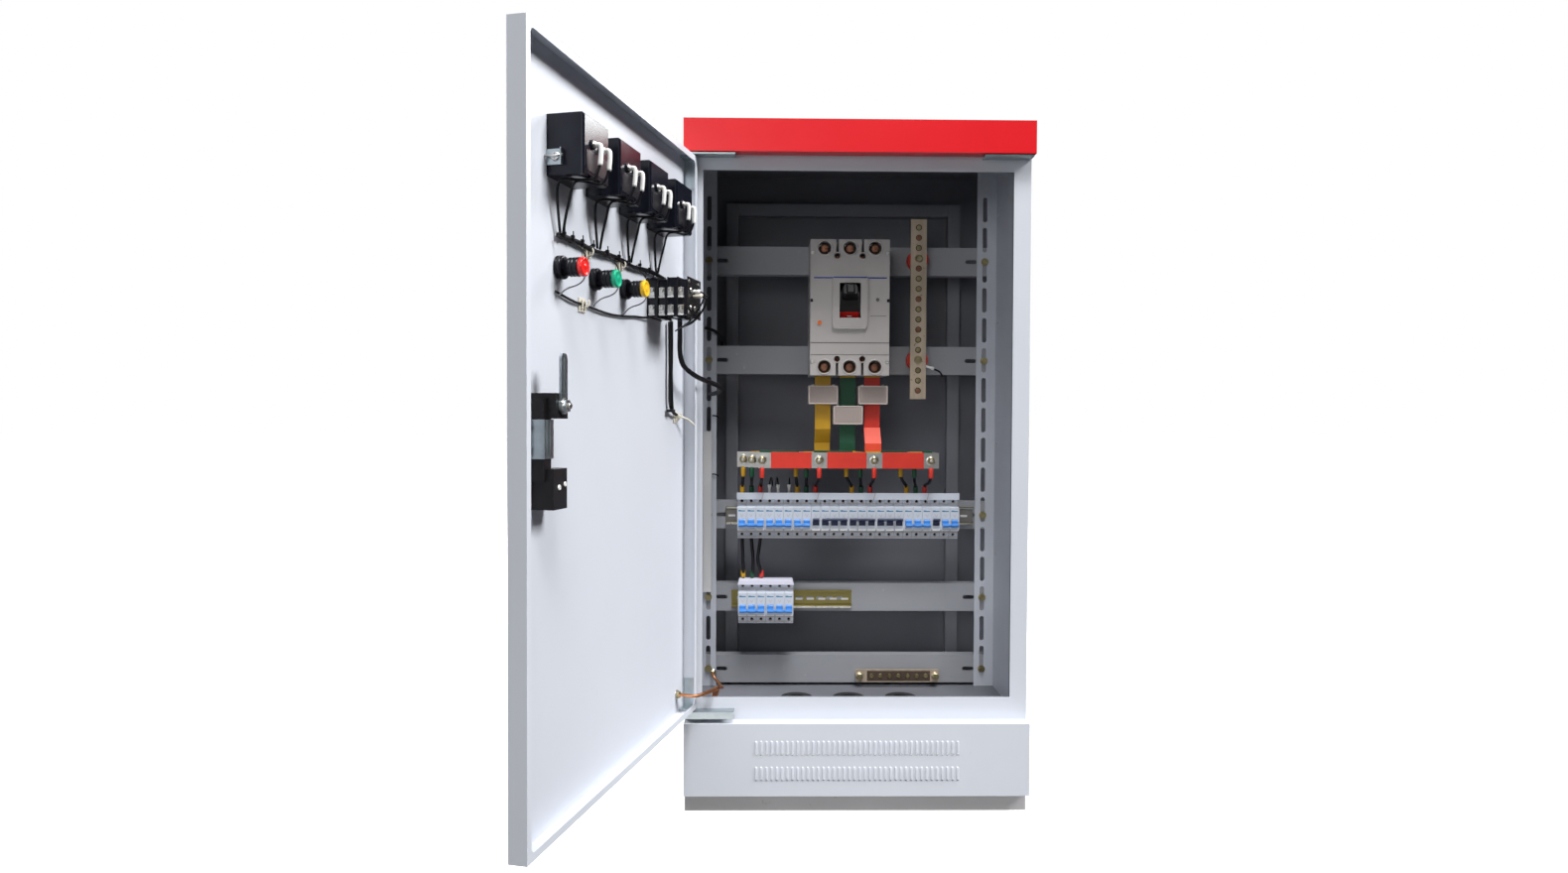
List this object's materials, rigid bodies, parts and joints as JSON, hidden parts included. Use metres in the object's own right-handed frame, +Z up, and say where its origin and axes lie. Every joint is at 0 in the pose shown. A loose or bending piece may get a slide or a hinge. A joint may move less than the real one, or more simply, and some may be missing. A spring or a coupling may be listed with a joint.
{
  "type": "electrical distribution cabinet",
  "caption": "Floor-standing steel switchboard cabinet with an open hinged door, a moulded-case main breaker, busbars, miniature breaker rows and door instruments.",
  "frame": {"origin": "centre of the four floor bolt holes, on the floor, under the middle of the cabinet's body", "axes": "+Z up; the door side faces -Y; +X is to the right of someone who faces the open door side"},
  "size_m": [0.7484, 0.9594, 1.2],
  "materials": {
    "cabinet_paint": "fine textured light grey powder coat",
    "banner_paint": "smooth red",
    "plinth_paint": "warm grey",
    "zinc": "bright zinc plate",
    "rubber_black": "matt",
    "breaker_shell": "warm light grey moulding",
    "lever_black": "black with a red band",
    "button_orange": "orange",
    "tinned_copper": "tinned copper with colour sleeves",
    "transformer_shell": "off-white",
    "pole_white": "white moulding",
    "toggle_blue": "blue",
    "din_steel": "yellow passivated zinc",
    "wire_black": "PVC",
    "bar_brass": "brass",
    "insulator_red": "red resin",
    "braid_copper": "bare copper",
    "instrument_black": "black",
    "lamp_shell": "black with coloured lens",
    "strip_white": "light grey"
  },
  "bodies": {
    "cabinet": {"side_panel_left": "cabinet_paint", "side_panel_right": "cabinet_paint", "top_panel": "cabinet_paint", "back_panel": "cabinet_paint", "back_stiffeners": "cabinet_paint", "floor_plate": "cabinet_paint", "gland_plate": "zinc", "cable_grommets": "rubber_black", "front_frame": "cabinet_paint", "banner_panel": "banner_paint", "plinth_panel": "cabinet_paint", "plinth_base": "plinth_paint", "mounting_rail_left": "cabinet_paint", "mounting_rail_right": "cabinet_paint", "cross_beams": "cabinet_paint", "rail_bolts": "zinc", "rail_cover_strip": "strip_white", "mccb_base": "breaker_shell", "mccb_cover": "breaker_shell", "mccb_terminals": "tinned_copper", "phase_droppers": "tinned_copper", "current_transformers": "transformer_shell", "busbars": "tinned_copper", "bar_bolts": "zinc", "feeder_wires": "wire_black", "din_rails": "din_steel", "mcb_row_1": "pole_white", "mcb_row_2": "pole_white", "terminal_shield": "pole_white", "neutral_bar": "bar_brass", "bar_insulators": "insulator_red", "earth_bar": "bar_brass", "hinge_plates": "zinc", "door_loom_crossing": "wire_black", "earth_braid": "braid_copper"},
    "door": {"door_panel": "cabinet_paint", "door_hinge_brackets": "zinc", "panel_meters": "instrument_black", "signal_lamps": "lamp_shell", "selector_switch_body": "instrument_black", "lock_housing": "instrument_black", "lock_clamp": "zinc", "door_loom": "wire_black"},
    "selector_knob": {"selector_switch_knob": "instrument_black"},
    "lock_spindle": {"lock_cam": "zinc"},
    "lock_handle": {"lock_handle": "zinc"},
    "main_lever": {"mccb_lever": "lever_black"},
    "test_button": {"mccb_test_button": "button_orange"},
    "breaker_toggle_01": {"mcb_toggle_01": "toggle_blue"},
    "breaker_toggle_02": {"mcb_toggle_02": "toggle_blue"},
    "breaker_toggle_03": {"mcb_toggle_03": "toggle_blue"},
    "breaker_toggle_04": {"mcb_toggle_04": "toggle_blue"},
    "breaker_toggle_05": {"mcb_toggle_05": "toggle_blue"},
    "breaker_toggle_06": {"mcb_toggle_06": "toggle_blue"},
    "breaker_toggle_07": {"mcb_toggle_07": "toggle_blue"},
    "breaker_toggle_08": {"mcb_toggle_08": "toggle_blue"},
    "breaker_toggle_09": {"mcb_toggle_09": "toggle_blue"},
    "breaker_toggle_10": {"mcb_toggle_10": "toggle_blue"},
    "breaker_toggle_11": {"mcb_toggle_11": "toggle_blue"},
    "breaker_toggle_12": {"mcb_toggle_12": "toggle_blue"}
  },
  "joints": [
    {"name": "door_hinge", "type": "hinge", "parent": "cabinet", "child": "door", "pos_m": [-0.292, -0.199, 0.66], "axis": [0, 0, 1], "range_deg": [-16, 104], "deforming": ["door_loom_crossing", "earth_braid"]},
    {"name": "selector_turn", "type": "hinge", "parent": "door", "child": "selector_knob", "pos_m": [-0.35013, -0.32879, 0.875], "axis": [0.9703, -0.2419, 0], "range_deg": [-45, 45]},
    {"name": "lock_turn", "type": "hinge", "parent": "door", "child": "lock_spindle", "pos_m": [-0.41852, -0.70647, 0.703], "axis": [0.9703, -0.2419, 0], "range_deg": [0, 90]},
    {"name": "lock_handle_lift", "type": "hinge", "parent": "lock_spindle", "child": "lock_handle", "pos_m": [-0.43774, -0.70168, 0.703], "axis": [0.2419, 0.9703, 0], "range_deg": [0, 45]},
    {"name": "main_lever_throw", "type": "hinge", "parent": "cabinet", "child": "main_lever", "pos_m": [-0.0025, 0.005, 0.912], "axis": [1, 0, 0], "range_deg": [0, 36]},
    {"name": "test_button_press", "type": "slide", "parent": "cabinet", "child": "test_button", "axis": [0, 1, 0], "range_m": [0, 0.002], "stiffness_N_per_m": 400, "springref_m": -0.001},
    {"name": "breaker_01_throw", "type": "hinge", "parent": "cabinet", "child": "breaker_toggle_01", "pos_m": [-0.189, 0.006, 0.487], "axis": [1, 0, 0], "range_deg": [-44, 0]},
    {"name": "breaker_02_throw", "type": "hinge", "parent": "cabinet", "child": "breaker_toggle_02", "pos_m": [-0.135, 0.006, 0.487], "axis": [1, 0, 0], "range_deg": [-44, 0]},
    {"name": "breaker_03_throw", "type": "hinge", "parent": "cabinet", "child": "breaker_toggle_03", "pos_m": [-0.09, 0.006, 0.487], "axis": [1, 0, 0], "range_deg": [-44, 0]},
    {"name": "breaker_04_throw", "type": "hinge", "parent": "cabinet", "child": "breaker_toggle_04", "pos_m": [-0.063, 0.006, 0.487], "axis": [1, 0, 0], "range_deg": [0, 44]},
    {"name": "breaker_05_throw", "type": "hinge", "parent": "cabinet", "child": "breaker_toggle_05", "pos_m": [-0.027, 0.006, 0.487], "axis": [1, 0, 0], "range_deg": [0, 44]},
    {"name": "breaker_06_throw", "type": "hinge", "parent": "cabinet", "child": "breaker_toggle_06", "pos_m": [0.027, 0.006, 0.487], "axis": [1, 0, 0], "range_deg": [0, 44]},
    {"name": "breaker_07_throw", "type": "hinge", "parent": "cabinet", "child": "breaker_toggle_07", "pos_m": [0.081, 0.006, 0.487], "axis": [1, 0, 0], "range_deg": [0, 44]},
    {"name": "breaker_08_throw", "type": "hinge", "parent": "cabinet", "child": "breaker_toggle_08", "pos_m": [0.135, 0.006, 0.487], "axis": [1, 0, 0], "range_deg": [-44, 0]},
    {"name": "breaker_09_throw", "type": "hinge", "parent": "cabinet", "child": "breaker_toggle_09", "pos_m": [0.171, 0.006, 0.487], "axis": [1, 0, 0], "range_deg": [0, 44]},
    {"name": "breaker_10_throw", "type": "hinge", "parent": "cabinet", "child": "breaker_toggle_10", "pos_m": [0.198, 0.006, 0.487], "axis": [1, 0, 0], "range_deg": [-44, 0]},
    {"name": "breaker_11_throw", "type": "hinge", "parent": "cabinet", "child": "breaker_toggle_11", "pos_m": [-0.187, 0.006, 0.32], "axis": [1, 0, 0], "range_deg": [-44, 0]},
    {"name": "breaker_12_throw", "type": "hinge", "parent": "cabinet", "child": "breaker_toggle_12", "pos_m": [-0.133, 0.006, 0.32], "axis": [1, 0, 0], "range_deg": [-44, 0]}
  ]
}
